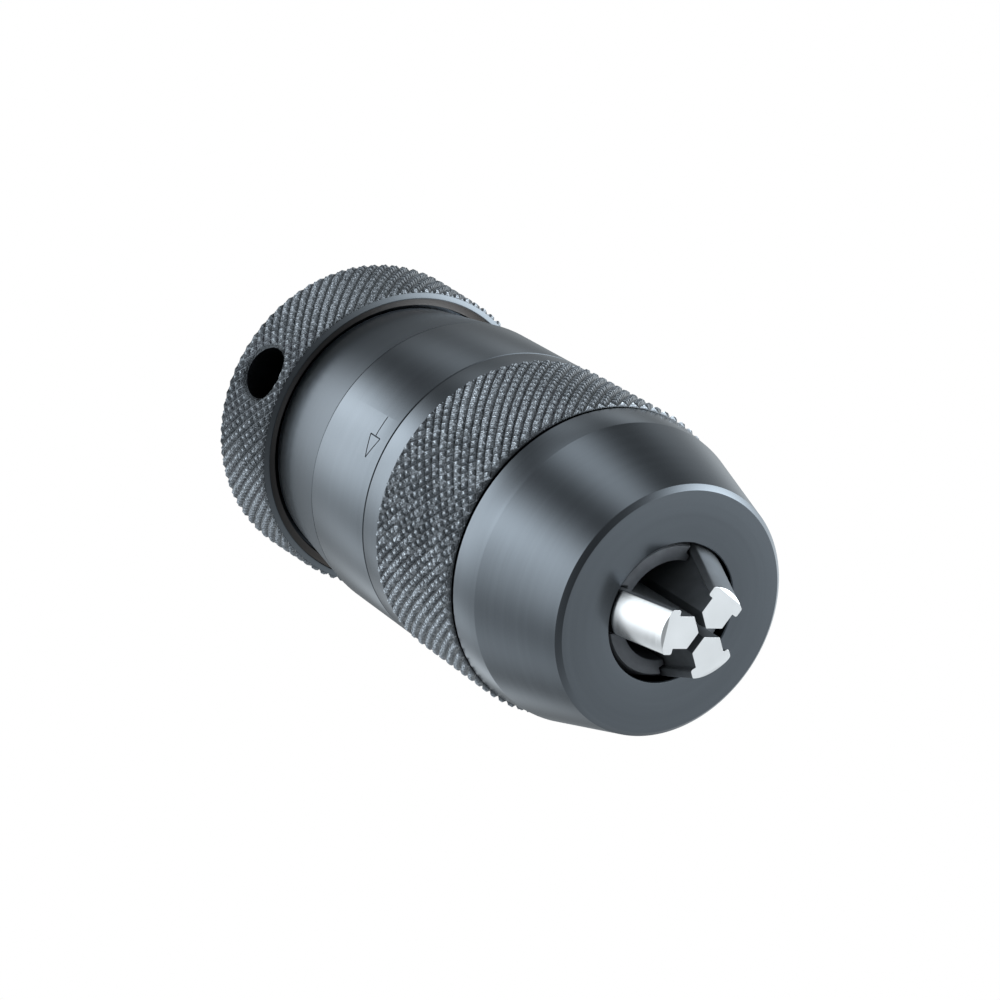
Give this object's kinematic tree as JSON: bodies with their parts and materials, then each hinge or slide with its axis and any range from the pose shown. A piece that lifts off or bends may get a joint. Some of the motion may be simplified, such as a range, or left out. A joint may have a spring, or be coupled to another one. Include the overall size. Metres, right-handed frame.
{
  "type": "drill chuck",
  "caption": "Keyless drill chuck with a knurled sleeve, conical nose, sliding jaws and a rear holding ring with a spanner hole.",
  "frame": {"origin": "centre of the rear face, on the chuck's axis", "axes": "+Z along the chuck's axis from the rear face to the jaws; +X through the spanner hole in the holding ring"},
  "size_m": [0.045, 0.045, 0.0881],
  "materials": {
    "body_steel": "blackened, turned",
    "ring_steel": "blackened, diamond knurled",
    "sleeve_steel": "blackened, turned and knurled",
    "nose_steel": "blackened, finely turned",
    "guide_steel": "blackened, matt",
    "jaw_steel": "ground bright",
    "screw_steel": "turned",
    "bearing_steel": "ground",
    "spring_steel": "oiled spring steel",
    "cage_brass": "turned"
  },
  "bodies": {
    "body": {"chuck_body": "body_steel", "holding_ring": "ring_steel", "snap_ring": "spring_steel", "front_race": "bearing_steel"},
    "sleeve_unit": {"sleeve": "sleeve_steel", "nose_cone": "nose_steel", "jaw_guide": "guide_steel", "rear_race": "bearing_steel"},
    "screw": {"draw_screw": "screw_steel"},
    "jaw_a": {"jaw_1": "jaw_steel"},
    "jaw_b": {"jaw_2": "jaw_steel"},
    "jaw_c": {"jaw_3": "jaw_steel"},
    "ball_set": {"ball_cage": "cage_brass", "ball_01": "bearing_steel", "ball_02": "bearing_steel", "ball_03": "bearing_steel", "ball_04": "bearing_steel", "ball_05": "bearing_steel", "ball_06": "bearing_steel", "ball_07": "bearing_steel", "ball_08": "bearing_steel", "ball_09": "bearing_steel", "ball_10": "bearing_steel", "ball_11": "bearing_steel", "ball_12": "bearing_steel", "ball_13": "bearing_steel", "ball_14": "bearing_steel", "ball_15": "bearing_steel", "ball_16": "bearing_steel"}
  },
  "joints": [
    {"name": "sleeve_turn", "type": "hinge", "parent": "body", "child": "sleeve_unit", "pos_m": [0, 0, 0.04], "axis": [0, 0, 1], "range_deg": [-150, 1500]},
    {"name": "screw_slide", "type": "slide", "parent": "sleeve_unit", "child": "screw", "axis": [0, 0, -1], "range_m": [-0.00106, 0.01045]},
    {"name": "jaw_a_slide", "type": "slide", "parent": "sleeve_unit", "child": "jaw_a", "axis": [0.3618, 0.1246, -0.9239], "range_m": [-0.00115, 0.0113]},
    {"name": "jaw_b_slide", "type": "slide", "parent": "sleeve_unit", "child": "jaw_b", "axis": [-0.2888, 0.2511, -0.9239], "range_m": [-0.00115, 0.0113]},
    {"name": "jaw_c_slide", "type": "slide", "parent": "sleeve_unit", "child": "jaw_c", "axis": [-0.073, -0.3757, -0.9239], "range_m": [-0.00115, 0.0113]},
    {"name": "cage_turn", "type": "hinge", "parent": "body", "child": "ball_set", "pos_m": [0, 0, 0.0201], "axis": [0, 0, 1], "range_deg": [-76, 751]}
  ],
  "couplings": [
    {"joint": "screw_slide", "follows": "sleeve_turn", "m_per_rad": 0.00039789},
    {"joint": "jaw_a_slide", "follows": "sleeve_turn", "m_per_rad": 0.00043067},
    {"joint": "jaw_b_slide", "follows": "sleeve_turn", "m_per_rad": 0.00043067},
    {"joint": "jaw_c_slide", "follows": "sleeve_turn", "m_per_rad": 0.00043067},
    {"joint": "cage_turn", "follows": "sleeve_turn", "ratio": 0.5}
  ]
}
